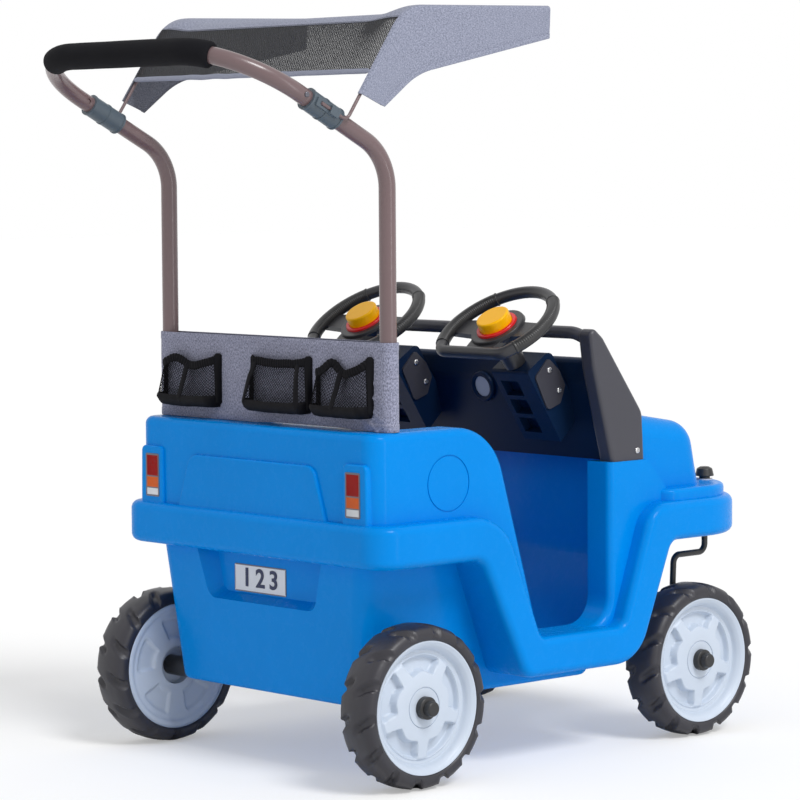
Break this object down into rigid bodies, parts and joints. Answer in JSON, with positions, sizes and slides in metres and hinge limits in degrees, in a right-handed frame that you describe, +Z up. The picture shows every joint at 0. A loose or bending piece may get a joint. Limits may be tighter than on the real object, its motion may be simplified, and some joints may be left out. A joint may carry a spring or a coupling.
{
  "type": "push car with handle",
  "caption": "Ride-in push car with moulded blue body, twin steering wheels, swivel front wheels, tube push handle, fabric sun canopy and net-pocket caddy.",
  "frame": {"origin": "on the ground, in the middle of the car's length and width", "axes": "+X the way the car drives, +Y to its left, +Z up"},
  "size_m": [1.0732, 0.678, 1.16],
  "materials": {
    "body_blue": "semi-gloss moulded polyethylene",
    "dash_black": "fine grained moulded plastic",
    "screw_steel": "zinc plated",
    "disc_white": "smooth",
    "plate_silver": "satin foil",
    "lens_red": "glossy printed foil",
    "rod_steel": "drawn rod",
    "rod_black": "black coated",
    "part_black": "satin",
    "tyre_black": "blow moulded, satin",
    "rim_white": "satin",
    "bush_pale": "satin",
    "ring_red": "smooth",
    "button_yellow": "smooth",
    "tube_bronze": "satin powder coat",
    "sleeve_grey": "satin",
    "foam_black": "closed cell foam",
    "cloth_grey": "heathered woven polyester",
    "cloth_dark": "heathered woven polyester",
    "net_black": "knitted net"
  },
  "bodies": {
    "chassis": {"body_shell": "body_blue", "dash_console": "dash_black", "windshield_frame": "dash_black", "dash_plate_left": "dash_black", "dash_plate_right": "dash_black", "gauge_ring": "dash_black", "dash_screws": "screw_steel", "gauge_disc": "disc_white", "number_plate": "plate_silver", "tail_light_left": "lens_red", "tail_light_right": "lens_red", "rear_axle": "rod_steel", "axle_spacer_left": "part_black", "axle_spacer_right": "part_black", "hub_cap_rear_left": "part_black", "hub_cap_rear_right": "part_black", "caster_bush_left": "bush_pale", "caster_bush_right": "bush_pale", "pole_left": "tube_bronze", "pole_right": "tube_bronze", "handle_tube": "tube_bronze", "canopy_frame": "tube_bronze", "sleeve_left": "sleeve_grey", "sleeve_right": "sleeve_grey", "foam_grip": "foam_black", "canopy_top": "cloth_grey", "canopy_binding": "cloth_grey", "caddy_panel": "cloth_dark", "canopy_mesh": "net_black", "pocket_left": "net_black", "pocket_middle": "net_black", "pocket_right": "net_black"},
    "wheel_rear_left": {"tyre_rear_left": "tyre_black", "rim_rear_left": "rim_white"},
    "wheel_rear_right": {"tyre_rear_right": "tyre_black", "rim_rear_right": "rim_white"},
    "wheel_front_left": {"tyre_front_left": "tyre_black", "rim_front_left": "rim_white"},
    "wheel_front_right": {"tyre_front_right": "tyre_black", "rim_front_right": "rim_white"},
    "caster_left": {"caster_rod_left": "rod_black", "caster_knob_left": "part_black", "hub_cap_front_left": "part_black"},
    "steering_left": {"steering_wheel_left": "dash_black", "steering_shaft_left": "rod_steel", "horn_ring_left": "ring_red", "horn_bellows_left": "part_black"},
    "horn_left": {"horn_button_left": "button_yellow"},
    "snap_left": {"snap_button_left": "rod_steel"},
    "caster_right": {"caster_rod_right": "rod_black", "caster_knob_right": "part_black", "hub_cap_front_right": "part_black"},
    "steering_right": {"steering_wheel_right": "dash_black", "steering_shaft_right": "rod_steel", "horn_ring_right": "ring_red", "horn_bellows_right": "part_black"},
    "horn_right": {"horn_button_right": "button_yellow"},
    "snap_right": {"snap_button_right": "rod_steel"}
  },
  "joints": [
    {"name": "rear_wheel_spin_left", "type": "hinge", "parent": "chassis", "child": "wheel_rear_left", "pos_m": [-0.22036, 0.326, 0.123], "axis": [0, 1, 0], "continuous": true},
    {"name": "rear_wheel_spin_right", "type": "hinge", "parent": "chassis", "child": "wheel_rear_right", "pos_m": [-0.22036, -0.326, 0.123], "axis": [0, 1, 0], "continuous": true},
    {"name": "caster_swivel_left", "type": "hinge", "parent": "chassis", "child": "caster_left", "pos_m": [0.49664, 0.219, 0.324], "axis": [0, 0, 1], "continuous": true},
    {"name": "front_wheel_spin_left", "type": "hinge", "parent": "caster_left", "child": "wheel_front_left", "pos_m": [0.41464, 0.2935, 0.123], "axis": [0, 1, 0], "continuous": true},
    {"name": "caster_swivel_right", "type": "hinge", "parent": "chassis", "child": "caster_right", "pos_m": [0.49664, -0.219, 0.324], "axis": [0, 0, 1], "continuous": true},
    {"name": "front_wheel_spin_right", "type": "hinge", "parent": "caster_right", "child": "wheel_front_right", "pos_m": [0.41464, -0.2935, 0.123], "axis": [0, 1, 0], "continuous": true},
    {"name": "steering_turn_left", "type": "hinge", "parent": "chassis", "child": "steering_left", "pos_m": [0.09064, 0.154, 0.6666], "axis": [-0.549, 0, 0.8358], "continuous": true},
    {"name": "horn_press_left", "type": "slide", "parent": "steering_left", "child": "horn_left", "axis": [0.549, 0, -0.8358], "range_m": [0, 0.004], "stiffness_N_per_m": 500},
    {"name": "steering_turn_right", "type": "hinge", "parent": "chassis", "child": "steering_right", "pos_m": [0.09064, -0.154, 0.6666], "axis": [-0.549, 0, 0.8358], "continuous": true},
    {"name": "horn_press_right", "type": "slide", "parent": "steering_right", "child": "horn_right", "axis": [0.549, 0, -0.8358], "range_m": [0, 0.004], "stiffness_N_per_m": 500},
    {"name": "snap_press_left", "type": "slide", "parent": "chassis", "child": "snap_left", "axis": [0, -1, 0], "range_m": [0, 0.003], "stiffness_N_per_m": 800},
    {"name": "snap_press_right", "type": "slide", "parent": "chassis", "child": "snap_right", "axis": [0, 1, 0], "range_m": [0, 0.003], "stiffness_N_per_m": 800}
  ]
}
